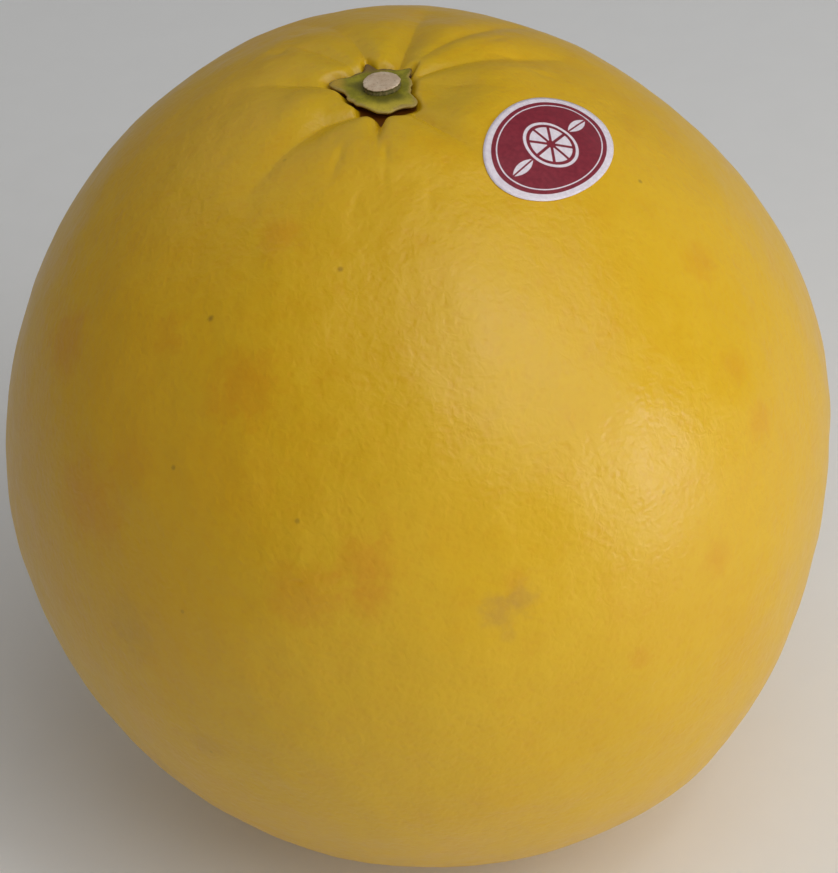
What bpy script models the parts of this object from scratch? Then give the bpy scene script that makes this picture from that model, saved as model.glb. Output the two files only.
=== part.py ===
"""A large pomelo standing on its blossom end: fruit, calyx, stub of stalk and an oval label.

Metres, +Z up, the stalk's axis along Z, the origin on the table under the fruit's middle.
Azimuths are in degrees from +X towards +Y, and polar angles in degrees down from the stalk.
"""

import math

import bmesh
import bpy
from mathutils import Vector

MM = 0.001

# Fruit: a slightly tall, slightly deep ellipsoid with broad swells and hollows of its own.
HALF_WIDTH = 100 * MM
DEPTH_RATIO = 1.03
HEIGHT_RATIO = 1.05
SWELLS = (  # azimuth, latitude, share of the radius, spread in degrees
    (6, 8, 0.010, 17),
    (32, 33, -0.016, 24),
    (110, 49, 0.012, 24),
    (182, -3, 0.0125, 15),
    (-46, -41, 0.030, 26),
    (-13, -16, -0.019, 17),
    (95, -28, 0.008, 30),
)

# Resting flat: the height of the fruit's middle above it, under a full half height of 105 mm.
MIDDLE_HEIGHT = 103.4 * MM

# The middle's place over the origin, which centres the whole object's box on the origin.
MIDDLE_X = 0.4 * MM
MIDDLE_Y = -0.15 * MM

# Stalk end: a shallow bowl in a low raised shoulder, hollows and a swell (of negative depth),
# and the pit that holds the calyx.
BOWL_DEPTH = 1.5 * MM
BOWL_SPREAD = 9
SHOULDER_HEIGHT = 0.7 * MM
SHOULDER_POLAR = 15
SHOULDER_SPREAD = 5.5
HOLLOWS = (  # azimuth, reach mm, depth mm, spread mm
    (328, 14.0, 2.0, 8.0),
    (60, 10.0, 0.6, 4.0),
    (197, 18.0, -1.0, 6.0),
)
PIT_DEPTH = 3.7 * MM
PIT_WALL = 0.5 * MM
PIT_CLEARANCE = 0.9 * MM
PIT_GAPS = (  # azimuth, extra clearance mm, spread in degrees
    (243, 2.2, 8),
    (260, 1.4, 14),
    (267, 2.2, 3.5),
    (288, 1.5, 9),
)
STALK_END = 45

# Creases between the lobes of the stalk end, each a line of points seen from above.
CREASES = (  # sharpness, then points: azimuth, reach mm, depth mm, half width mm
    (1.25, ((172, 11, 1.6, 2.0), (168, 20, 1.5, 3.0), (165, 36, 0.0, 5.0))),
    (1.25, ((243, 12, 2.2, 1.7), (222, 18, 2.8, 3.8), (220, 30, 1.6, 5.5), (221, 46, 0.0, 7.0))),
    (1.10, ((267, 11, 3.0, 1.1), (265, 17, 2.2, 1.2), (265, 22, 0.4, 1.2), (265, 26, 0.0, 1.2))),
    (1.20, ((299, 14, 2.0, 1.6), (303, 22, 2.2, 2.8), (306, 36, 0.0, 5.0))),
    (1.25, ((15, 10, 1.6, 2.0), (18, 20, 1.8, 3.4), (19, 34, 1.4, 4.0), (22, 52, 0.0, 6.0))),
    (1.30, ((40, 14, 0.4, 1.6), (42, 26, 1.2, 2.4), (44, 44, 0.6, 3.0), (45, 56, 0.0, 4.0))),
    (1.25, ((58, 9, 2.2, 2.4), (66, 20, 2.2, 3.6), (71, 36, 1.4, 5.0), (74, 56, 0.0, 6.0))),
    (1.25, ((101, 9, 1.4, 2.0), (105, 20, 1.5, 3.0), (109, 34, 0.8, 4.5), (112, 50, 0.0, 5.0))),
    (1.30, ((128, 10, 0.9, 2.0), (131, 22, 1.2, 2.6), (133, 34, 0.0, 4.0))),
    (1.60, ((352, 11, 0.5, 2.5), (350, 20, 0.5, 3.0), (348, 30, 0.0, 3.0))),
    (1.60, ((269, 23, 0.0, 0.8), (269, 26, 0.5, 0.9), (270, 29, 0.0, 0.9))),
    (1.60, ((246, 21, 0.0, 1.0), (247, 27, 0.5, 1.2), (247, 35, 0.0, 1.5))),
    (1.80, ((139, 25, 0.0, 1.5), (139, 29, 0.5, 1.8), (139, 33, 0.0, 1.8))),
)

# Calyx: a lobed button, dished on top, its rim standing clear of the pit's floor.
CALYX_RADIUS = 7.2 * MM
CALYX_LOBES = (  # azimuth, extra radius mm, spread in degrees
    (163, 4.7, 17),
    (215, 1.4, 30),
    (276, 4.3, 30),
    (309, 3.7, 13),
    (37, 2.3, 9),
    (105, 2.8, 8),
    (128, 0.8, 12),
)
CALYX_UNDER = (  # share of the radius, height in mm over the pit's lowest point
    (0.25, 0.30),
    (0.55, 0.36),
    (0.80, 0.70),
    (0.96, 1.25),
    (1.00, 1.60),
)
CALYX_OVER = (
    (0.97, 2.05),
    (0.88, 2.15),
    (0.76, 2.00),
    (0.60, 1.85),
    (0.42, 1.75),
    (0.20, 1.75),
)

# Stalk stub: standing a little off the calyx's middle, waisted, with a domed cut end.
STUB_SHIFT = 0.4 * MM
STUB_GAP = 0.3 * MM
STUB_PROFILE = (  # radius mm, height mm over the stub's foot
    (2.2, 0.00),
    (4.05, 0.00),
    (4.15, 0.15),
    (3.90, 0.40),
    (3.90, 0.65),
    (4.08, 0.90),
    (4.00, 1.08),
    (3.50, 1.22),
    (2.00, 1.32),
)
STUB_TOP = 1.35 * MM

# Label: an oval of paper lying along the shoulder.
LABEL_AZIMUTH = -31
LABEL_POLAR = 24.5
LABEL_TURN = 9.5
LABEL_HALF_LENGTH = 19.0 * MM
LABEL_HALF_WIDTH = 13.0 * MM
LABEL_GAP = 0.3 * MM
LABEL_THICKNESS = 0.3 * MM

# Fineness of the meshes.
FRUIT_AROUND = 108
STALK_END_RINGS = 28
STALK_END_REACH = 25
BODY_RINGS = 28
CALYX_AROUND = 60
STUB_AROUND = 36
LABEL_AROUND = 48
LABEL_RINGS = 4

MIDDLE = Vector((MIDDLE_X, MIDDLE_Y, MIDDLE_HEIGHT))


def direction(azimuth, polar):
    """The unit vector at an azimuth and a polar angle, both in radians."""
    across = math.sin(polar)
    return Vector(
        (across * math.cos(azimuth), across * math.sin(azimuth), math.cos(polar))
    )


def swelling(towards):
    """The fruit's size in one direction, as a share of the plain ellipsoid's."""
    share = 1.0
    for azimuth, latitude, amount, spread in SWELLS:
        centre = direction(math.radians(azimuth), math.radians(90 - latitude))
        away = math.degrees(towards.angle(centre))
        share += amount * math.exp(-((away / spread) ** 2))
    return share


def bells(lobes, azimuth):
    """The sum in metres of lobes round the axis, at an azimuth in radians."""
    total = 0.0
    for centre, extra, spread in lobes:
        away = (math.degrees(azimuth) - centre + 180) % 360 - 180
        total += extra * MM * math.exp(-((away / spread) ** 2))
    return total


def lobed_radius(azimuth):
    """The calyx's radius at an azimuth in radians."""
    return CALYX_RADIUS + bells(CALYX_LOBES, azimuth)


def crease_depth(crease, x, y):
    """How deep one crease is at a point, in millimetres from the stalk's axis seen from above."""
    sharpness, points = crease
    places = [
        (reach * math.cos(math.radians(azimuth)), reach * math.sin(math.radians(azimuth)))
        for azimuth, reach, _, _ in points
    ]
    deepest = 0.0
    for first in range(len(points) - 1):
        x0, y0 = places[first]
        run, rise = places[first + 1][0] - x0, places[first + 1][1] - y0
        share = ((x - x0) * run + (y - y0) * rise) / (run * run + rise * rise)
        share = min(max(share, 0.0), 1.0)
        away = math.hypot(x - x0 - share * run, y - y0 - share * rise)
        depth0, width0 = points[first][2:]
        depth1, width1 = points[first + 1][2:]
        depth = depth0 + (depth1 - depth0) * share
        width = width0 + (width1 - width0) * share
        deepest = max(deepest, depth * math.exp(-((away / width) ** sharpness)))
    return deepest


def dent(azimuth, polar):
    """How far the rind is drawn in round the stalk, in metres."""
    degrees = math.degrees(polar)
    if degrees > STALK_END:
        return 0.0
    reach = HALF_WIDTH * math.sin(polar)
    x, y = reach / MM * math.cos(azimuth), reach / MM * math.sin(azimuth)
    clearance = PIT_CLEARANCE + bells(PIT_GAPS, azimuth)
    in_pit = 1 / (1 + math.exp((reach - lobed_radius(azimuth) - clearance) / PIT_WALL))
    folds = sum(crease_depth(crease, x, y) for crease in CREASES)
    for centre, distance, depth, spread in HOLLOWS:
        x0 = distance * math.cos(math.radians(centre))
        y0 = distance * math.sin(math.radians(centre))
        folds += depth * math.exp(-((math.hypot(x - x0, y - y0) / spread) ** 2))
    bowl = BOWL_DEPTH * math.exp(-((degrees / BOWL_SPREAD) ** 2))
    past = (degrees - SHOULDER_POLAR) / SHOULDER_SPREAD
    bowl -= SHOULDER_HEIGHT * math.exp(-(past**2))
    return bowl + PIT_DEPTH * in_pit + folds * MM * (1 - in_pit)


def skin(azimuth, polar):
    """The point of the fruit's skin at an azimuth and a polar angle in radians."""
    towards = direction(azimuth, polar)
    point = Vector(
        (towards.x, DEPTH_RATIO * towards.y, HEIGHT_RATIO * towards.z)
    ) * (HALF_WIDTH * swelling(towards))
    point *= 1 - dent(azimuth, polar) / point.length
    return MIDDLE + point


def material(name, colour, roughness):
    """A plain Principled material in a linear RGB colour."""
    made = bpy.data.materials.new(name)
    made.use_nodes = True
    shader = made.node_tree.nodes["Principled BSDF"]
    shader.inputs["Base Color"].default_value = (*colour, 1)
    shader.inputs["Roughness"].default_value = roughness
    made.diffuse_color = (*colour, 1)
    return made


def closed_skin(name, first, rings, last, look):
    """A closed body: an end point, rings of equal count from it outwards and up, an end point."""
    mesh = bmesh.new()
    start = mesh.verts.new(first)
    loops = [[mesh.verts.new(point) for point in ring] for ring in rings]
    end = mesh.verts.new(last)
    count = len(loops[0])
    for here in range(count):
        there = (here + 1) % count
        mesh.faces.new((start, loops[0][there], loops[0][here]))
        for low, high in zip(loops, loops[1:]):
            mesh.faces.new((low[here], low[there], high[there], high[here]))
        mesh.faces.new((end, loops[-1][here], loops[-1][there]))
    for face in mesh.faces:
        face.smooth = True
    data = bpy.data.meshes.new(name)
    mesh.to_mesh(data)
    mesh.free()
    data.materials.append(look)
    made = bpy.data.objects.new(name, data)
    bpy.context.collection.objects.link(made)
    return made


def around(count):
    """Azimuths in radians, evenly round the stalk's axis."""
    return [2 * math.pi * step / count for step in range(count)]


def build_fruit(look):
    """The whole fruit, from the middle of its resting flat up to the bottom of the pit."""
    half_height = HEIGHT_RATIO * HALF_WIDTH
    flat_polar = math.pi - math.acos(MIDDLE_HEIGHT / half_height)
    reach = math.radians(STALK_END_REACH)
    polars = [reach * step / STALK_END_RINGS for step in range(1, STALK_END_RINGS + 1)]
    step = (flat_polar - reach) / BODY_RINGS
    polars += [reach + step * count for count in range(1, BODY_RINGS + 1)]
    rings = [
        [skin(azimuth, polar) for azimuth in around(FRUIT_AROUND)] for polar in polars
    ]
    for point in rings[-1]:
        point.z = 0
    rings.reverse()
    first = Vector((MIDDLE_X, MIDDLE_Y, 0))
    return closed_skin("fruit", first, rings, skin(0, 0), look)


def build_calyx(look):
    """The button in the pit, its underside just clear of the rind."""
    floor = skin(0, 0)

    def ring(share, height):
        points = []
        for azimuth in around(CALYX_AROUND):
            out = direction(azimuth, math.pi / 2) * (lobed_radius(azimuth) * share)
            points.append(floor + out + Vector((0, 0, height * MM)))
        return points

    rings = [ring(share, height) for share, height in CALYX_UNDER + CALYX_OVER]
    first = floor + Vector((0, 0, CALYX_UNDER[0][1] * MM))
    last = floor + Vector((0, 0, CALYX_OVER[-1][1] * MM))
    return closed_skin("calyx", first, rings, last, look)


def build_stub(look):
    """The stub of stalk, a little out of round, on the calyx's flat middle."""
    foot = skin(0, 0) + Vector((STUB_SHIFT, 0, CALYX_OVER[-1][1] * MM + STUB_GAP))

    def ring(radius, height):
        points = []
        for azimuth in around(STUB_AROUND):
            uneven = 1 + 0.03 * math.cos(2 * azimuth) + 0.02 * math.cos(3 * azimuth + 1)
            out = direction(azimuth, math.pi / 2) * (radius * MM * uneven)
            points.append(foot + out + Vector((0, 0, height * MM)))
        return points

    rings = [ring(radius, height) for radius, height in STUB_PROFILE]
    return closed_skin("stem_stub", foot, rings, foot + Vector((0, 0, STUB_TOP)), look)


def build_label(look):
    """The oval label, bent to the shoulder and lying just clear of the rind."""
    azimuth = math.radians(LABEL_AZIMUTH)
    polar = math.radians(LABEL_POLAR)
    turn = math.radians(LABEL_TURN)
    centre = skin(azimuth, polar) - MIDDLE
    sideways = direction(azimuth + math.pi / 2, math.pi / 2)
    down = direction(azimuth, polar + math.pi / 2)
    long_way = sideways * math.cos(turn) + down * math.sin(turn)
    short_way = direction(azimuth, polar).cross(long_way)

    def point(share, angle, lift):
        flat = centre + long_way * (LABEL_HALF_LENGTH * share * math.cos(angle))
        flat += short_way * (LABEL_HALF_WIDTH * share * math.sin(angle))
        scaled = Vector((flat.x, flat.y / DEPTH_RATIO, flat.z / HEIGHT_RATIO))
        there = skin(
            math.atan2(scaled.y, scaled.x), math.acos(scaled.z / scaled.length)
        )
        local = there - MIDDLE
        out = Vector((local.x, local.y / DEPTH_RATIO**2, local.z / HEIGHT_RATIO**2))
        return there + out.normalized() * lift

    under, over = LABEL_GAP, LABEL_GAP + LABEL_THICKNESS
    steps = range(1, LABEL_RINGS + 1)
    shares = [(step / LABEL_RINGS, under) for step in steps]
    shares += [(step / LABEL_RINGS, over) for step in reversed(steps)]
    turns = around(LABEL_AROUND)
    rings = [[point(share, angle, lift) for angle in turns] for share, lift in shares]
    return closed_skin("label", point(0, 0, under), rings, point(0, 0, over), look)


for old in list(bpy.data.objects):
    bpy.data.objects.remove(old, do_unlink=True)

build_fruit(material("rind", (0.560, 0.330, 0.026), 0.45))
build_calyx(material("calyx", (0.180, 0.210, 0.035), 0.60))
build_stub(material("stem", (0.420, 0.330, 0.230), 0.80))
build_label(material("label", (0.230, 0.024, 0.045), 0.50))
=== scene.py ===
"""The pomelo's looks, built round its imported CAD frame.

Metres, +Z up, as in the frame. Azimuths are in degrees from +X towards +Y, polar angles in
degrees down from the stalk's axis. The fruit, the calyx, the stub of stalk and the label each
replace the CAD node of the same name.
"""

import math

import bpy
import numpy as np
from mathutils import Matrix, Vector


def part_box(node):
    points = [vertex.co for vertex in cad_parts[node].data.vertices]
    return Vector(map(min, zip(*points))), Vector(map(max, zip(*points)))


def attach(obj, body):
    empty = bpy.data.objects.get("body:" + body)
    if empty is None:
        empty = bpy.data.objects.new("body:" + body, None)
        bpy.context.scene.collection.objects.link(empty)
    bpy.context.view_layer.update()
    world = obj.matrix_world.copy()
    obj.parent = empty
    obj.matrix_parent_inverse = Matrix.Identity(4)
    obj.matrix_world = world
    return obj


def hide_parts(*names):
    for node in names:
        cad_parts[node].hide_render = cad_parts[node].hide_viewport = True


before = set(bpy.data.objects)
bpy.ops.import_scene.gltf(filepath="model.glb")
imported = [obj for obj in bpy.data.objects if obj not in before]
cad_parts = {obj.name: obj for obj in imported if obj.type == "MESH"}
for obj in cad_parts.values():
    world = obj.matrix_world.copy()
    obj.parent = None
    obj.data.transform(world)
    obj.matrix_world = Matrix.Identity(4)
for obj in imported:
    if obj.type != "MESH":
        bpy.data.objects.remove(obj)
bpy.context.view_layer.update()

MM = 0.001
SEED = 11

# The fruit's body, as in the CAD: an ellipsoid with broad swells and hollows.
HALF_WIDTH = 100 * MM
DEPTH_RATIO = 1.03
HEIGHT_RATIO = 1.05
MIDDLE_HEIGHT = 103.4 * MM
BOX_SHIFT = (0.38 * MM, -0.15 * MM)  # from the middle of its box to its own middle
SWELLS = (  # azimuth, latitude, share of the radius, spread in degrees
    (6, 8, 0.010, 17),
    (32, 33, -0.016, 24),
    (110, 49, 0.012, 24),
    (182, -3, 0.0125, 15),
    (-46, -41, 0.030, 26),
    (-13, -16, -0.019, 17),
    (95, -28, 0.008, 30),
)

# The stalk end: a bowl, hollows, the pit that holds the calyx, and creases between lobes.
BOWL_DEPTH = 1.5 * MM
BOWL_SPREAD = 9
SHOULDER_HEIGHT = 0.7 * MM
SHOULDER_POLAR = 15
SHOULDER_SPREAD = 5.5
HOLLOWS = (  # azimuth, reach mm, depth mm, spread mm
    (328, 14.0, 2.0, 8.0),
    (60, 10.0, 0.6, 4.0),
    (197, 18.0, -1.0, 6.0),
)
PIT_DEPTH = 3.7 * MM
PIT_WALL = 0.5 * MM
PIT_CLEARANCE = 0.9 * MM
PIT_GAPS = (  # azimuth, extra clearance mm, spread in degrees
    (243, 2.2, 8),
    (260, 1.4, 14),
    (267, 2.2, 3.5),
    (288, 1.5, 9),
)
# The pit's brown floor is partly its own corky colour and partly painted shade under the calyx.
PIT_CORK_AND_SHADE_INSET = 0.7 * MM  # how far inside the pit's edge its brown floor begins
STALK_END = 45  # the polar angle in degrees past which the rind isn't drawn in

# Creases between the lobes of the stalk end, each a line of points seen from above.
CREASES = (  # sharpness, then points: azimuth, reach mm, depth mm, half width mm
    (1.25, ((172, 11, 1.6, 2.0), (168, 20, 1.5, 3.0), (165, 36, 0.0, 5.0))),
    (1.25, ((243, 12, 2.2, 1.7), (222, 18, 2.8, 3.8), (220, 30, 1.6, 5.5), (221, 46, 0.0, 7.0))),
    (1.10, ((267, 11, 3.0, 1.1), (265, 17, 2.2, 1.2), (265, 22, 0.4, 1.2), (265, 26, 0.0, 1.2))),
    (1.20, ((299, 14, 2.0, 1.6), (303, 22, 2.2, 2.8), (306, 36, 0.0, 5.0))),
    (1.25, ((15, 10, 1.6, 2.0), (18, 20, 1.8, 3.4), (19, 34, 1.4, 4.0), (22, 52, 0.0, 6.0))),
    (1.30, ((40, 14, 0.4, 1.6), (42, 26, 1.2, 2.4), (44, 44, 0.6, 3.0), (45, 56, 0.0, 4.0))),
    (1.25, ((58, 9, 2.2, 2.4), (66, 20, 2.2, 3.6), (71, 36, 1.4, 5.0), (74, 56, 0.0, 6.0))),
    (1.25, ((101, 9, 1.4, 2.0), (105, 20, 1.5, 3.0), (109, 34, 0.8, 4.5), (112, 50, 0.0, 5.0))),
    (1.30, ((128, 10, 0.9, 2.0), (131, 22, 1.2, 2.6), (133, 34, 0.0, 4.0))),
    (1.60, ((352, 11, 0.5, 2.5), (350, 20, 0.5, 3.0), (348, 30, 0.0, 3.0))),
    (1.60, ((269, 23, 0.0, 0.8), (269, 26, 0.5, 0.9), (270, 29, 0.0, 0.9))),
    (1.60, ((246, 21, 0.0, 1.0), (247, 27, 0.5, 1.2), (247, 35, 0.0, 1.5))),
    (1.80, ((139, 25, 0.0, 1.5), (139, 29, 0.5, 1.8), (139, 33, 0.0, 1.8))),
)
WRINKLES = 40
WRINKLE_SHARPNESS = 1.7

# The rind's own unevenness: wavelength mm, height mm.
LUMPS = ((34, 0.16), (13, 0.05), (6, 0.022))
LUMP_WAVES = 26

# The fruit's mesh.
FRUIT_AROUND = 448
RING_BANDS = ((0, 12, 44), (12, 30, 48))  # from and to polar angle, rings
BODY_RINGS = 124

# The calyx.
CALYX_RADIUS = 7.2 * MM
CALYX_LOBES = (  # azimuth, extra radius mm, spread in degrees
    (163, 4.7, 17),
    (215, 1.4, 30),
    (276, 4.3, 30),
    (309, 3.7, 13),
    (37, 2.3, 9),
    (105, 2.8, 8),
    (128, 0.8, 12),
)
CALYX_OVER = (  # share of the radius, height mm over the pit's lowest point
    (0.00, 1.72),
    (0.45, 1.74),
    (0.60, 1.82),
    (0.76, 1.98),
    (0.88, 2.14),
    (0.95, 2.14),
    (1.00, 1.92),
)
CALYX_UNDER = (
    (1.00, 1.75),
    (0.96, 1.25),
    (0.80, 0.70),
    (0.55, 0.36),
    (0.00, 0.30),
)
CALYX_SHRINK = 0.012  # share of the radius that its ragged edge takes back
CALYX_CURL = 0.10 * MM
CALYX_VEINS = 21
CALYX_RELIEF = 0.05 * MM
CALYX_TOP_LEVEL = 1.5  # levels in mm above this are on its upper side
CALYX_AROUND = 180
CALYX_RINGS = 26

# The stub of stalk: radius mm at a share of its height.
STUB_SHIFT = 0.4 * MM
STUB_PROFILE = (
    (4.10, 0.00),
    (4.05, 0.20),
    (3.92, 0.40),
    (3.94, 0.60),
    (4.08, 0.76),
    (4.06, 0.84),
    (3.90, 0.91),
    (3.55, 0.95),
)
STUB_SUNK = 0.25 * MM  # how far its foot goes below the CAD stub's
STUB_WAVE = 0.04 * MM
STUB_AROUND = 120
STUB_RINGS = 30
STUB_END_RINGS = 13

# The label, its print and outline in millimetres on its own flat.
LABEL_AZIMUTH = -31
LABEL_POLAR = 24.5
LABEL_TURN = 9.5
LABEL_HALF_LENGTH = 19.0
LABEL_HALF_WIDTH = 13.0
LABEL_LIFT = 0.12 * MM
LABEL_THICKNESS = 0.12 * MM
LABEL_AROUND = 128
LABEL_RINGS = 20

# The floor.
FLOOR_HALF = 3.0

# The camera: looking along +Y and down, rolled a little, through a long lens.
CAMERA_DISTANCE = 0.70
CAMERA_ELEVATION = 39.0
CAMERA_ROLL = 6.5
CAMERA_LENS = 117.5
CAMERA_AIM = (-0.29 * MM, 0.39 * MM)  # how far the view passes the fruit's middle, right and up

fruit_low, fruit_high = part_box("fruit")
calyx_low, calyx_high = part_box("calyx")
stub_low, stub_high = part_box("stem_stub")
MIDDLE = np.array(
    (
        (fruit_low.x + fruit_high.x) / 2 + BOX_SHIFT[0],
        (fruit_low.y + fruit_high.y) / 2 + BOX_SHIFT[1],
        fruit_low.z + MIDDLE_HEIGHT,
    )
)
random = np.random.default_rng(SEED)


# ---------------------------------------------------------------- shapes


def direction(azimuth, polar):
    """Unit vectors at azimuths and polar angles in radians."""
    across = np.sin(polar)
    parts = (across * np.cos(azimuth), across * np.sin(azimuth), np.cos(polar))
    return np.stack(np.broadcast_arrays(*parts), axis=-1)


def bell(distance, spread):
    """A bell curve: 1 at no distance, falling away over the spread."""
    return np.exp(-((distance / spread) ** 2))


def swelling(towards):
    """The body's size in each direction, as a share of the plain ellipsoid's."""
    share = np.ones(towards.shape[:-1])
    for azimuth, latitude, amount, spread in SWELLS:
        centre = direction(math.radians(azimuth), math.radians(90 - latitude))
        away = np.degrees(np.arccos(np.clip(towards @ centre, -1, 1)))
        share += amount * bell(away, spread)
    return share


def bells(lobes, azimuth):
    """The sum in metres of lobes round the axis, at azimuths in radians."""
    total = np.zeros(np.shape(azimuth))
    for centre, extra, spread in lobes:
        away = (np.degrees(azimuth) - centre + 180) % 360 - 180
        total += extra * MM * bell(away, spread)
    return total


def lobed_radius(azimuth):
    """The calyx's radius at azimuths in radians."""
    return CALYX_RADIUS + bells(CALYX_LOBES, azimuth)


def small_wrinkles():
    """Fine short creases that run roughly outwards, in the form of CREASES."""
    made = []
    for _ in range(WRINKLES):
        azimuth = random.uniform(0, 360)
        start = random.uniform(13, 38)
        length = random.uniform(4, 12)
        turn = random.uniform(-5, 5)
        depth = random.uniform(0.05, 0.22)
        width = random.uniform(0.7, 1.6)
        points = (
            (azimuth, start, 0.0, width),
            (azimuth + turn / 2, start + length / 2, depth, width),
            (azimuth + turn, start + length, 0.0, width),
        )
        made.append((WRINKLE_SHARPNESS, points))
    return made


def waves(count):
    """Random wave directions and phases for one size of lump."""
    axes = random.normal(size=(count, 3))
    axes /= np.linalg.norm(axes, axis=1, keepdims=True)
    return axes, random.uniform(0, 2 * math.pi, count)


ALL_CREASES = list(CREASES) + small_wrinkles()
LUMP_FIELDS = [(length * MM, height * MM, *waves(LUMP_WAVES)) for length, height in LUMPS]


def crease_depth(crease, x, y):
    """How deep one crease is at points, in millimetres from the stalk's axis seen from above."""
    sharpness, points = crease
    places = [
        (reach * math.cos(math.radians(azimuth)), reach * math.sin(math.radians(azimuth)))
        for azimuth, reach, _, _ in points
    ]
    deepest = np.zeros(np.shape(x))
    for first in range(len(points) - 1):
        x0, y0 = places[first]
        run, rise = places[first + 1][0] - x0, places[first + 1][1] - y0
        share = ((x - x0) * run + (y - y0) * rise) / (run * run + rise * rise)
        share = np.clip(share, 0, 1)
        away = np.hypot(x - x0 - share * run, y - y0 - share * rise)
        depth0, width0 = points[first][2:]
        depth1, width1 = points[first + 1][2:]
        depth = depth0 + (depth1 - depth0) * share
        width = width0 + (width1 - width0) * share
        deepest = np.maximum(deepest, depth * np.exp(-((away / width) ** sharpness)))
    return deepest


def inside_pit(azimuth, reach, inset=0.0):
    """1 inside the pit, 0 outside it, for a pit smaller all round by the inset."""
    edge = lobed_radius(azimuth) + PIT_CLEARANCE + bells(PIT_GAPS, azimuth) - inset
    return 1 / (1 + np.exp(np.clip((reach - edge) / PIT_WALL, -40, 40)))


def dent(azimuth, polar):
    """How far the rind is drawn in round the stalk, in metres."""
    azimuth, polar = np.broadcast_arrays(azimuth, polar)
    drawn = np.zeros(polar.shape)
    near = np.degrees(polar) <= STALK_END
    azimuth, polar = azimuth[near], polar[near]
    reach = HALF_WIDTH * np.sin(polar)
    x, y = reach / MM * np.cos(azimuth), reach / MM * np.sin(azimuth)
    in_pit = inside_pit(azimuth, reach)
    folds = sum(crease_depth(crease, x, y) for crease in ALL_CREASES)
    for centre, distance, depth, spread in HOLLOWS:
        x0 = distance * math.cos(math.radians(centre))
        y0 = distance * math.sin(math.radians(centre))
        folds += depth * bell(np.hypot(x - x0, y - y0), spread)
    bowl = BOWL_DEPTH * bell(np.degrees(polar), BOWL_SPREAD)
    bowl -= SHOULDER_HEIGHT * bell(np.degrees(polar) - SHOULDER_POLAR, SHOULDER_SPREAD)
    drawn[near] = bowl + PIT_DEPTH * in_pit + folds * MM * (1 - in_pit)
    return drawn


def lumps(points):
    """The rind's unevenness at points, up to a few tenths of a millimetre."""
    total = np.zeros(points.shape[:-1])
    for length, height, axes, phases in LUMP_FIELDS:
        turns = points @ axes.T * (2 * math.pi / length) + phases
        total += height * np.sin(turns).sum(axis=-1) / math.sqrt(len(phases) / 2)
    return total


def outward(points):
    """The ellipsoid's normal at points of the fruit."""
    scale = np.array((1, DEPTH_RATIO**-2, HEIGHT_RATIO**-2))
    normals = (points - MIDDLE) * scale
    return normals / np.linalg.norm(normals, axis=-1, keepdims=True)


def skin(azimuth, polar):
    """Points of the fruit's skin at azimuths and polar angles in radians."""
    towards = direction(azimuth, polar)
    body = towards * np.array((1, DEPTH_RATIO, HEIGHT_RATIO)) * HALF_WIDTH
    body *= swelling(towards)[..., None]
    size = np.linalg.norm(body, axis=-1)
    body *= (1 - dent(azimuth, polar) / size)[..., None]
    points = MIDDLE + body
    return points + outward(points) * lumps(points)[..., None]


def around(count):
    """Azimuths in radians, evenly round the stalk's axis."""
    return np.arange(count) * (2 * math.pi / count)


def closed_skin(name, first, rings, last):
    """A closed body: an end point, rings from it outwards and up, and an end point."""
    rings = np.asarray(rings)
    levels, count = rings.shape[:2]
    points = np.concatenate(([first], rings.reshape(-1, 3), [last]))
    here = np.arange(count)
    there = (here + 1) % count
    end = len(points) - 1
    faces = [(0, 1 + b, 1 + a) for a, b in zip(here.tolist(), there.tolist())]
    for level in range(levels - 1):
        low = 1 + level * count
        quads = (low + here, low + there, low + count + there, low + count + here)
        faces += np.stack(quads, axis=1).tolist()
    top = 1 + (levels - 1) * count
    faces += [(end, top + a, top + b) for a, b in zip(here.tolist(), there.tolist())]
    mesh = bpy.data.meshes.new(name)
    mesh.from_pydata(points.tolist(), [], faces)
    mesh.shade_smooth()
    made = bpy.data.objects.new(name, mesh)
    bpy.context.collection.objects.link(made)
    return made


def place(piece, node):
    """The piece rides on the one body and stands for its CAD node."""
    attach(piece, "root")
    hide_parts(node)


def make_fruit():
    """The whole fruit, from the middle of its resting flat up to the bottom of the pit."""
    half_height = HEIGHT_RATIO * HALF_WIDTH
    flat_polar = math.pi - math.acos(MIDDLE_HEIGHT / half_height)
    body_band = (RING_BANDS[-1][1], math.degrees(flat_polar), BODY_RINGS)
    bands = [
        np.radians(np.linspace(low, high, rings + 1)[1:])
        for low, high, rings in (*RING_BANDS, body_band)
    ]
    polars = np.concatenate(bands)[::-1]
    rings = skin(around(FRUIT_AROUND)[None, :], polars[:, None])
    rings[0, :, 2] = fruit_low.z
    rings[..., 2] = np.maximum(rings[..., 2], fruit_low.z)
    first = (MIDDLE[0], MIDDLE[1], fruit_low.z)
    last = skin(np.array(0.0), np.array(0.0))
    rind = closed_skin("fruit_rind", first, rings, last)
    reach = HALF_WIDTH * np.sin(polars[:, None])
    # Mask of the pit floor for its corky brown and painted shade.
    pit_cork_and_shade = inside_pit(around(FRUIT_AROUND)[None, :], reach, PIT_CORK_AND_SHADE_INSET)
    pit_cork_and_shade = pit_cork_and_shade * (polars[:, None] < math.radians(STALK_END))
    tone = np.concatenate(([0], pit_cork_and_shade.ravel(), [1]))
    rind.data.attributes.new("pit_cork_and_shade", "FLOAT", "POINT").data.foreach_set("value", tone)
    return rind


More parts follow.
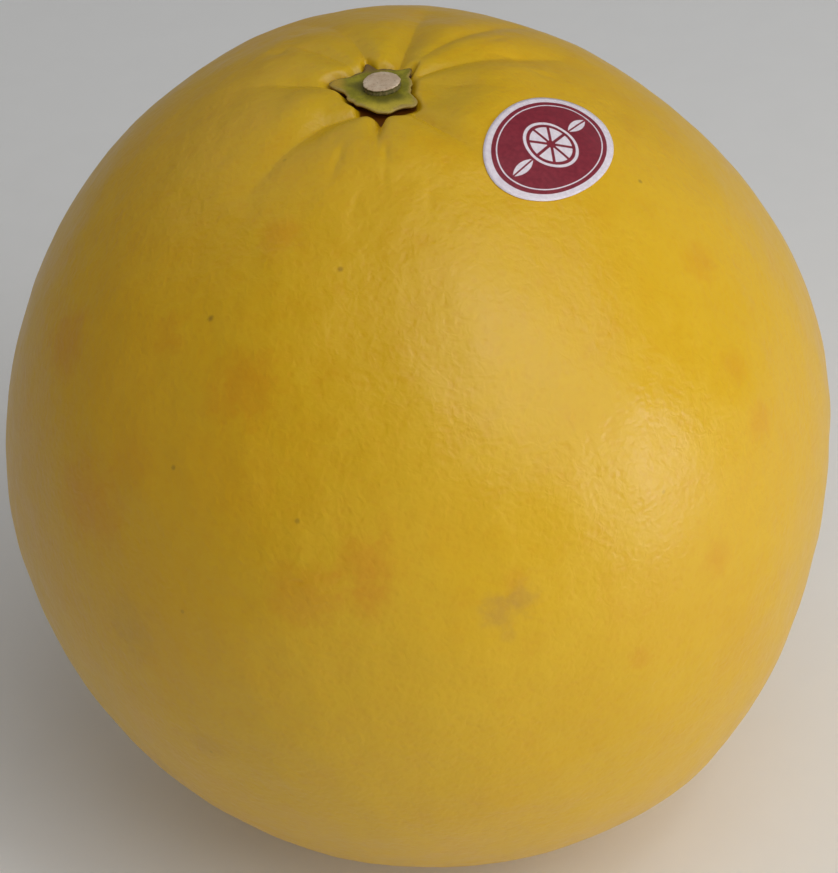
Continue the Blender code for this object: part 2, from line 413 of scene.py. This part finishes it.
def make_calyx():
    """The button: dished, with a thick curled rim and a ragged outline."""
    azimuths = around(CALYX_AROUND)
    floor = calyx_low.z - CALYX_UNDER[-1][1] * MM
    lobe = (lobed_radius(azimuths) - CALYX_RADIUS) / (3 * MM)
    ragged = sum(
        random.uniform(0.002, 0.008) * np.cos(turns * azimuths + random.uniform(0, 6.3))
        for turns in range(5, 30, 3)
    )
    outline = lobed_radius(azimuths) * (1 + ragged - CALYX_SHRINK)
    veins = np.cos(CALYX_VEINS * azimuths + 2 * np.sin(3 * azimuths))

    def ring(share, level):
        out = direction(azimuths, math.pi / 2) * (outline * share)[:, None]
        curl = CALYX_CURL * lobe * share**6
        relief = CALYX_RELIEF * veins * share * (1 - share**4) * (level > CALYX_TOP_LEVEL)
        out[:, 2] = floor + level * MM + curl * (level > 1) + relief
        out[:, 0] += MIDDLE[0]
        out[:, 1] += MIDDLE[1]
        return out

    over_share, over_level = np.array(CALYX_OVER).T
    under_share, under_level = np.array(CALYX_UNDER[::-1]).T
    steps = np.linspace(0, 1, CALYX_RINGS + 1)[1:]
    under = [ring(s, np.interp(s, under_share, under_level)) for s in steps]
    over = [ring(s, np.interp(s, over_share, over_level)) for s in steps[::-1]]
    rings = np.array(under + over)
    first = (MIDDLE[0], MIDDLE[1], floor + CALYX_UNDER[-1][1] * MM)
    last = (MIDDLE[0], MIDDLE[1], floor + CALYX_OVER[0][1] * MM)
    calyx = closed_skin("calyx_button", first, rings, last)
    shares = np.concatenate((steps, steps[::-1]))
    tone = np.concatenate(([0], np.repeat(shares, CALYX_AROUND), [0]))
    calyx.data.attributes.new("share", "FLOAT", "POINT").data.foreach_set("value", tone)
    return calyx


def make_stub():
    """The stub of stalk: a ridged side, a lip, and a slightly domed cut end."""
    azimuths = around(STUB_AROUND)
    bottom = stub_low.z - STUB_SUNK
    height = stub_high.z - stub_low.z + STUB_SUNK
    uneven = 1 + 0.03 * np.cos(2 * azimuths) + 0.02 * np.cos(3 * azimuths + 1)
    ridges = sum(
        random.uniform(0.003, 0.008) * np.cos(turns * azimuths + random.uniform(0, 6.3))
        for turns in range(9, 34, 4)
    )
    radii, levels = np.array(STUB_PROFILE).T

    def ring(radius, level):
        edge = min(radius / radii[-1], 1) ** 3
        out = direction(azimuths, math.pi / 2)
        out = out * (radius * MM * (uneven + ridges * edge))[:, None]
        out[:, 2] = bottom + height * level + STUB_WAVE * np.cos(azimuths * 2 + 1) * edge
        out[:, 0] += MIDDLE[0] + STUB_SHIFT
        out[:, 1] += MIDDLE[1]
        return out

    side = [
        ring(np.interp(level, levels, radii), level)
        for level in np.linspace(0, levels[-1], STUB_RINGS)
    ]
    dome = 1 - levels[-1]
    end = [
        ring(radius, levels[-1] + dome * (1 - (radius / radii[-1]) ** 2) ** 0.7)
        for radius in np.linspace(radii[-1], 0, STUB_END_RINGS + 1)[1:-1]
    ]
    first = (MIDDLE[0] + STUB_SHIFT, MIDDLE[1], bottom)
    last = (MIDDLE[0] + STUB_SHIFT, MIDDLE[1], bottom + height)
    return closed_skin("stalk_stub", first, side + end, last)


def make_label():
    """The oval label, bent to the shoulder, with its own flat coordinates for the print."""
    azimuth, polar = math.radians(LABEL_AZIMUTH), math.radians(LABEL_POLAR)
    turn = math.radians(LABEL_TURN)
    centre = skin(np.array(azimuth), np.array(polar)) - MIDDLE
    sideways = direction(azimuth + math.pi / 2, math.pi / 2)
    down = direction(azimuth, polar + math.pi / 2)
    long_way = sideways * math.cos(turn) + down * math.sin(turn)
    short_way = np.cross(direction(azimuth, polar), long_way)
    angles = around(LABEL_AROUND)

    def ring(share, lift):
        x = LABEL_HALF_LENGTH * share * np.cos(angles)
        y = LABEL_HALF_WIDTH * share * np.sin(angles)
        flat = centre + (x[:, None] * long_way + y[:, None] * short_way) * MM
        scaled = flat / np.array((1, DEPTH_RATIO, HEIGHT_RATIO))
        size = np.linalg.norm(scaled, axis=-1)
        there = skin(np.arctan2(scaled[:, 1], scaled[:, 0]), np.arccos(scaled[:, 2] / size))
        return there + outward(there) * lift, np.stack((x, y, 0 * x), axis=-1)

    steps = np.linspace(0, 1, LABEL_RINGS + 1)[1:]
    over = LABEL_LIFT + LABEL_THICKNESS
    made = [ring(share, LABEL_LIFT) for share in steps]
    made += [ring(share, over) for share in steps[::-1]]
    rings = np.array([points for points, _ in made])
    flats = np.array([flat for _, flat in made]).reshape(-1, 3)
    normal = outward(centre + MIDDLE)
    first = centre + MIDDLE + normal * LABEL_LIFT
    last = centre + MIDDLE + normal * over
    label = closed_skin("oval_label", first, rings, last)
    flats = np.concatenate((np.zeros((1, 3)), flats, np.zeros((1, 3))))
    store = label.data.attributes.new("flat_mm", "FLOAT_VECTOR", "POINT")
    store.data.foreach_set("vector", flats.ravel())
    return label


# ---------------------------------------------------------------- materials


class Look:
    """A material's node tree, with short ways to add to it."""

    def __init__(self, name):
        self.material = bpy.data.materials.new(name)
        self.material.use_nodes = True
        self.tree = self.material.node_tree
        self.shader = self.tree.nodes["Principled BSDF"]

    def feed(self, socket, value):
        """Links another node's output to a socket, or sets a plain value on it."""
        if isinstance(value, bpy.types.NodeSocket):
            self.tree.links.new(value, socket)
        else:
            socket.default_value = value

    def add(self, kind, inputs, **settings):
        node = self.tree.nodes.new("ShaderNode" + kind)
        for key, value in settings.items():
            setattr(node, key, value)
        for key, value in inputs.items():
            self.feed(node.inputs[key], value)
        return node

    def place(self):
        """Coordinates in metres, fixed to the object."""
        return self.add("TexCoord", {}).outputs["Object"]

    def math(self, operation, first, second=0.0):
        node = self.add("Math", {0: first, 1: second}, operation=operation)
        return node.outputs[0]

    def noise(self, where, scale, detail=2.0, roughness=0.5, distortion=0.0):
        inputs = {
            "Vector": where,
            "Scale": scale,
            "Detail": detail,
            "Roughness": roughness,
            "Distortion": distortion,
        }
        return self.add("TexNoise", inputs).outputs["Fac"]

    def cells(self, where, scale, feature="F1", smoothness=0.0):
        inputs = {"Vector": where, "Scale": scale}
        node = self.add("TexVoronoi", inputs, feature=feature)
        if feature == "SMOOTH_F1":
            node.inputs["Smoothness"].default_value = smoothness
        return node.outputs["Distance"]

    def between(self, value, low, high, to_low=0.0, to_high=1.0):
        """value mapped smoothly from low..high to to_low..to_high."""
        inputs = {
            "Value": value,
            "From Min": low,
            "From Max": high,
            "To Min": to_low,
            "To Max": to_high,
        }
        node = self.add("MapRange", inputs, interpolation_type="SMOOTHSTEP")
        return node.outputs["Result"]

    def mix(self, share, first, second):
        """The first colour at a share of 0, the second at 1."""
        node = self.add("Mix", {0: share, 6: first, 7: second}, data_type="RGBA")
        return node.outputs[2]

    def distance(self, where, point):
        node = self.add("VectorMath", {0: where, 1: point}, operation="DISTANCE")
        return node.outputs["Value"]

    def bump(self, height, distance, strength, normal=None):
        """A normal bent by a height field, on top of another normal if one is given."""
        inputs = {"Height": height, "Distance": distance, "Strength": strength}
        if normal is not None:
            inputs["Normal"] = normal
        return self.add("Bump", inputs).outputs["Normal"]

    def finish(self, colour, roughness, normal=None):
        self.feed(self.shader.inputs["Base Color"], colour)
        self.feed(self.shader.inputs["Roughness"], roughness)
        if normal is not None:
            self.feed(self.shader.inputs["Normal"], normal)
        return self.material


def colour(red, green, blue):
    """A linear colour from sRGB values of 0 to 255."""

    def linear(value):
        value /= 255
        return value / 12.92 if value <= 0.04045 else ((value + 0.055) / 1.055) ** 2.4

    return (linear(red), linear(green), linear(blue), 1)


YELLOW = colour(222, 175, 10)
ORANGE = colour(218, 160, 8)
DEEP = colour(215, 145, 5)
PALE = colour(228, 185, 28)
OLIVE = colour(190, 166, 14)
TAN = colour(196, 147, 54)
BROWN = colour(120, 84, 26)

# The pit's corky brown, darkened as painted shade where the calyx overhangs the pit.
PIT_CORK_AND_SHADE = colour(100, 54, 6)

MARKS = (  # on the rind: azimuth, latitude, radius mm, strength, colour
    (-137, 28, 62, 0.40, ORANGE),
    (-120, 43, 9.5, 0.55, DEEP),
    (-99, 24, 7.5, 0.55, DEEP),
    (-99, 20, 6.0, 0.45, DEEP),
    (-143, 22, 12, 0.50, DEEP),
    (-161, 36, 9, 0.50, DEEP),
    (-122, 62, 5.5, 0.45, DEEP),
    (-138, 46, 5, 0.40, DEEP),
    (-108, 20, 9, 0.40, DEEP),
    (-120, 32, 13, 0.35, ORANGE),
    (-137, 30, 7, 0.35, DEEP),
    (-80, 20, 4, 0.30, DEEP),
    (-65, 4, 3, 0.40, DEEP),
    (-36, 22, 5, 0.45, DEEP),
    (-51, 11, 5, 0.35, DEEP),
    (-28, 42, 5.5, 0.40, DEEP),
    (-36, 30, 4.5, 0.35, DEEP),
    (-134, 8, 8, 0.30, TAN),
    (-124, -7, 5, 0.25, TAN),
    (-82.5, 16.4, 4.6, 0.60, TAN),
    (-79.5, 17.4, 4.2, 0.55, TAN),
    (-82, 13.2, 2.0, 0.30, TAN),
    (-130.4, 49.9, 0.9, 0.60, BROWN),
    (-104.4, 59.0, 0.7, 0.50, BROWN),
    (-108.5, 28.9, 0.7, 0.50, BROWN),
    (-128.8, 31.6, 0.6, 0.45, BROWN),
    (-23.1, 53.7, 0.6, 0.50, BROWN),
)


def rind_look():
    """Golden yellow with soft orange patches, marks, specks and pores, greener round the stalk, and
    dark brown in the pit, partly its corky colour and partly painted shade.
    """
    look = Look("rind")
    where = look.place()
    broad = look.noise(where, 22, 3, 0.55)
    patchy = look.noise(where, 150, 4, 0.6)
    fine = look.noise(where, 520, 3, 0.6)
    tint = look.mix(look.between(broad, 0.46, 0.72, 0, 0.30), YELLOW, ORANGE)
    tint = look.mix(look.between(patchy, 0.45, 0.70, 0, 0.28), tint, PALE)
    tint = look.mix(look.between(patchy, 0.48, 0.28, 0, 0.30), tint, ORANGE)
    crown = look.distance(where, tuple(MIDDLE + (0, 0, HEIGHT_RATIO * HALF_WIDTH)))
    greening = look.between(crown, 12 * MM, 36 * MM, 0.30, 0)
    tint = look.mix(greening, tint, OLIVE)
    edge = look.noise(where, 240, 3, 0.65)
    ragged = look.math("MULTIPLY", look.math("SUBTRACT", edge, 0.5), 1.6)
    for azimuth, latitude, radius, strength, shade in MARKS:
        spot = skin(np.array(math.radians(azimuth)), np.array(math.radians(90 - latitude)))
        away = look.math("DIVIDE", look.distance(where, tuple(spot)), radius * MM)
        inside = look.between(look.math("ADD", away, ragged), 0.25, 1.25, strength, 0)
        tint = look.mix(inside, tint, shade)
    specks = look.cells(where, 45)
    tint = look.mix(look.between(specks, 0.014, 0.030, 0.22, 0), tint, BROWN)
    pebbles = look.cells(where, 560, "SMOOTH_F1", 0.5)
    tint = look.mix(look.between(pebbles, 0.10, 0.55, 0.14, 0), tint, DEEP)
    tint = look.mix(look.between(fine, 0.35, 0.65, 0.0, 0.12), tint, PALE)
    # Painted shade: the pit under the calyx turned dark brown, partly its own corky colour.
    pit_cork_and_shade = look.add("Attribute", {}, attribute_name="pit_cork_and_shade").outputs["Fac"]
    pit_cork_and_shade = look.math("ADD", pit_cork_and_shade, look.math("MULTIPLY", ragged, 0.15))
    tint = look.mix(look.between(pit_cork_and_shade, 0.35, 0.85), tint, PIT_CORK_AND_SHADE)
    rough = look.between(patchy, 0.3, 0.7, 0.34, 0.42)
    normal = look.bump(look.noise(where, 800, 1, 0.5), 0.12 * MM, 0.4)
    normal = look.bump(look.between(pebbles, 0.05, 0.6), 0.07 * MM, 0.4, normal)
    normal = look.bump(look.noise(where, 380, 2, 0.5, 0.6), 0.30 * MM, 0.5, normal)
    return look.finish(tint, rough, normal)


def calyx_look():
    """Olive green, with painted light making the front yellower and painted shade darkening the
    middle round the stub, a corky tip on the left and brown ones behind.
    """
    look = Look("calyx")
    where = look.place()
    share = look.add("Attribute", {}, attribute_name="share").outputs["Fac"]
    blotch = look.noise(where, 330, 4, 0.6)
    grain = look.noise(where, 1600, 3, 0.6)
    wobble = look.math("MULTIPLY", look.math("SUBTRACT", blotch, 0.5), 0.35)
    parts = look.add("SeparateXYZ", {"Vector": where})
    across, along = parts.outputs["X"], parts.outputs["Y"]

    def side(value, start, end):
        """1 past the end, 0 before the start, both in mm, along a wandering line."""
        blurred = look.math("ADD", value, look.math("MULTIPLY", wobble, 6 * MM))
        return look.between(blurred, start * MM, end * MM)

    green = look.mix(look.between(blotch, 0.35, 0.68), colour(130, 124, 10), colour(160, 150, 22))
    # Painted light: the front of the calyx made paler and yellower where the light falls on it.
    green = look.mix(side(along, -4, -9.5), green, colour(204, 182, 52))
    # Painted shade: the middle round the stub is darker olive, partly its own colour and partly the
    # stub's shadow.
    deep_and_shaded = look.mix(look.between(share, 0.46, 0.74), colour(106, 99, 8), green)
    deep_and_shaded = look.mix(side(across, -6.5, -9.5), deep_and_shaded, colour(186, 152, 50))
    deep_and_shaded = look.mix(side(along, 4.5, 7.5), deep_and_shaded, colour(122, 96, 44))
    rim = look.between(look.math("ADD", share, wobble), 0.86, 1.0)
    cork = look.mix(side(along, 2, 6), colour(170, 146, 74), colour(112, 84, 36))
    tint = look.mix(rim, deep_and_shaded, cork)
    tint = look.mix(look.between(grain, 0.55, 0.75, 0, 0.30), tint, colour(96, 78, 26))
    normal = look.bump(grain, 0.12 * MM, 0.5)
    normal = look.bump(blotch, 0.5 * MM, 0.4, normal)
    return look.finish(tint, look.between(grain, 0.3, 0.7, 0.5, 0.68), normal)


def stub_look():
    """A pale fibrous cut face on a green-brown side."""
    look = Look("stem")
    where = look.place()
    height = look.add("SeparateXYZ", {"Vector": where}).outputs["Z"]
    fibres = look.noise(where, 1500, 4, 0.65)
    pulp = look.noise(where, 500, 3, 0.6)
    face = look.mix(look.between(pulp, 0.35, 0.7), colour(198, 172, 144), colour(216, 196, 170))
    face = look.mix(look.between(fibres, 0.5, 0.72, 0, 0.5), face, colour(132, 104, 78))
    bark = look.mix(look.between(fibres, 0.35, 0.65), colour(86, 84, 34), colour(120, 104, 60))
    top = stub_high.z
    cut = look.between(height, top - 0.55 * MM, top - 0.30 * MM)
    tint = look.mix(cut, bark, face)
    normal = look.bump(fibres, 0.15 * MM, 0.7)
    return look.finish(tint, look.between(fibres, 0.3, 0.7, 0.65, 0.85), normal)


def label_look():
    """White rim, deep red field, a thin ring, and a plain slice of citrus with a leaf each side."""
    look = Look("label")
    flat = look.add("Attribute", {}, attribute_name="flat_mm").outputs["Vector"]
    parts = look.add("SeparateXYZ", {"Vector": flat})
    x, y = parts.outputs["X"], parts.outputs["Y"]
    size = (1 / LABEL_HALF_LENGTH, 1 / LABEL_HALF_WIDTH, 0)
    oval = look.add("VectorMath", {0: flat, 1: size}, operation="MULTIPLY").outputs[0]
    share = look.distance(oval, (0, 0, 0))
    radius = look.distance(flat, (0, 0, 0))

    def inside(value, limit, soft=0.10):
        """1 below the limit, 0 above it."""
        return look.between(value, limit - soft, limit + soft, 1, 0)

    def ring(value, low, high, soft=0.10):
        """1 between two limits, 0 elsewhere."""
        outer = inside(value, high, soft)
        return look.math("MULTIPLY", outer, look.between(value, low - soft, low + soft))

    turn = look.math("ARCTAN2", y, x)
    eighth = look.math("PINGPONG", turn, math.pi / 8)
    spoke = look.math("MULTIPLY", radius, look.math("SINE", eighth))
    segments = look.math("MULTIPLY", ring(radius, 1.1, 5.0), look.between(spoke, 0.25, 0.45))
    print_mask = look.math("MAXIMUM", segments, ring(radius, 5.8, 6.5))
    for side in (-1, 1):
        above = look.distance(flat, (side * 10.6, 4.6, 0))
        below = look.distance(flat, (side * 10.6, -4.6, 0))
        leaf = look.math("MULTIPLY", inside(above, 5.9), inside(below, 5.9))
        rib = look.between(look.math("ABSOLUTE", y), 0.12, 0.28)
        print_mask = look.math("MAXIMUM", print_mask, look.math("MULTIPLY", leaf, rib))
    print_mask = look.math("MAXIMUM", print_mask, ring(share, 0.795, 0.815, 0.006))
    grain = look.noise(look.place(), 900, 3, 0.6)
    red = look.mix(look.between(grain, 0.3, 0.7), colour(122, 30, 46), colour(138, 36, 52))
    white = look.mix(look.between(grain, 0.3, 0.7), colour(226, 214, 224), colour(238, 230, 236))
    field = look.mix(print_mask, red, white)
    tint = look.mix(inside(share, 0.885, 0.006), white, field)
    rough = look.between(grain, 0.3, 0.7, 0.34, 0.44)
    return look.finish(tint, rough, look.bump(grain, 0.04 * MM, 0.3))


def floor_look():
    """Plain and pale."""
    look = Look("floor")
    grain = look.noise(look.place(), 60, 3, 0.5)
    tint = look.mix(grain, colour(245, 245, 244), colour(249, 249, 248))
    return look.finish(tint, 0.75)


# ---------------------------------------------------------------- stage


def make_floor():
    """A plain square floor at table level."""
    half = FLOOR_HALF
    corners = [(-half, -half, 0), (half, -half, 0), (half, half, 0), (-half, half, 0)]
    mesh = bpy.data.meshes.new("floor")
    mesh.from_pydata(corners, [], [(0, 1, 2, 3)])
    floor = bpy.data.objects.new("floor", mesh)
    bpy.context.collection.objects.link(floor)
    mesh.materials.append(floor_look())


def make_camera():
    """The camera, its axes worked out from its elevation and roll."""
    elevation, roll = math.radians(CAMERA_ELEVATION), math.radians(CAMERA_ROLL)
    forward = Vector((0, math.cos(elevation), -math.sin(elevation)))
    level = Vector((1, 0, 0))
    upright = level.cross(forward)
    right = level * math.cos(roll) - upright * math.sin(roll)
    up = level * math.sin(roll) + upright * math.cos(roll)
    turned = Matrix((right, up, -forward)).transposed().to_4x4()
    data = bpy.data.cameras.new("camera")
    data.lens = CAMERA_LENS
    data.clip_start, data.clip_end = 0.05, 20
    camera = bpy.data.objects.new("camera", data)
    aside, above = CAMERA_AIM
    eye = Vector(MIDDLE) - forward * CAMERA_DISTANCE + right * aside + up * above
    camera.matrix_world = Matrix.Translation(eye) @ turned
    bpy.context.collection.objects.link(camera)
    bpy.context.scene.camera = camera


LIGHT_DISTANCE = 1.2
LIGHTS = (  # round soft lights aimed at the fruit: name, azimuth, elevation, size m, watts
    ("high_key", -40, 60, 1.30, 4.9),
    ("ceiling_lamp", -54, 60, 0.14, 0.60),
    ("low_window", -31, 6.5, 0.40, 3.15),
    ("front_right", -50, 36, 0.90, 2.4),
    ("back", 122, 50, 1.10, 0.9),
    ("front_low", -100, 12, 0.90, 0.6),
    ("right_low", 30, 15, 0.90, 0.5),
    ("left_low", -165, 12, 0.90, 0.2),
)
WORLD_STRENGTH = 0.16


def make_lights():
    """The lights, an even pale world, and plain colour handling."""
    for name, azimuth, elevation, size, watts in LIGHTS:
        out = Vector(direction(math.radians(azimuth), math.radians(90 - elevation)))
        data = bpy.data.lights.new(name, "AREA")
        data.shape = "DISK"
        data.size = size
        data.energy = watts
        lamp = bpy.data.objects.new(name, data)
        lamp.location = Vector(MIDDLE) + out * LIGHT_DISTANCE
        lamp.rotation_euler = out.to_track_quat("Z", "Y").to_euler()
        bpy.context.collection.objects.link(lamp)
    world = bpy.data.worlds.new("studio")
    world.use_nodes = True
    background = world.node_tree.nodes["Background"]
    background.inputs["Color"].default_value = (1, 1, 1, 1)
    background.inputs["Strength"].default_value = WORLD_STRENGTH
    bpy.context.scene.world = world
    bpy.context.scene.view_settings.view_transform = "Standard"


fruit = make_fruit()
fruit.data.materials.append(rind_look())
place(fruit, "fruit")

calyx = make_calyx()
calyx.data.materials.append(calyx_look())
place(calyx, "calyx")

stub = make_stub()
stub.data.materials.append(stub_look())
place(stub, "stem_stub")

label = make_label()
label.data.materials.append(label_look())
place(label, "label")

make_floor()
make_camera()
make_lights()
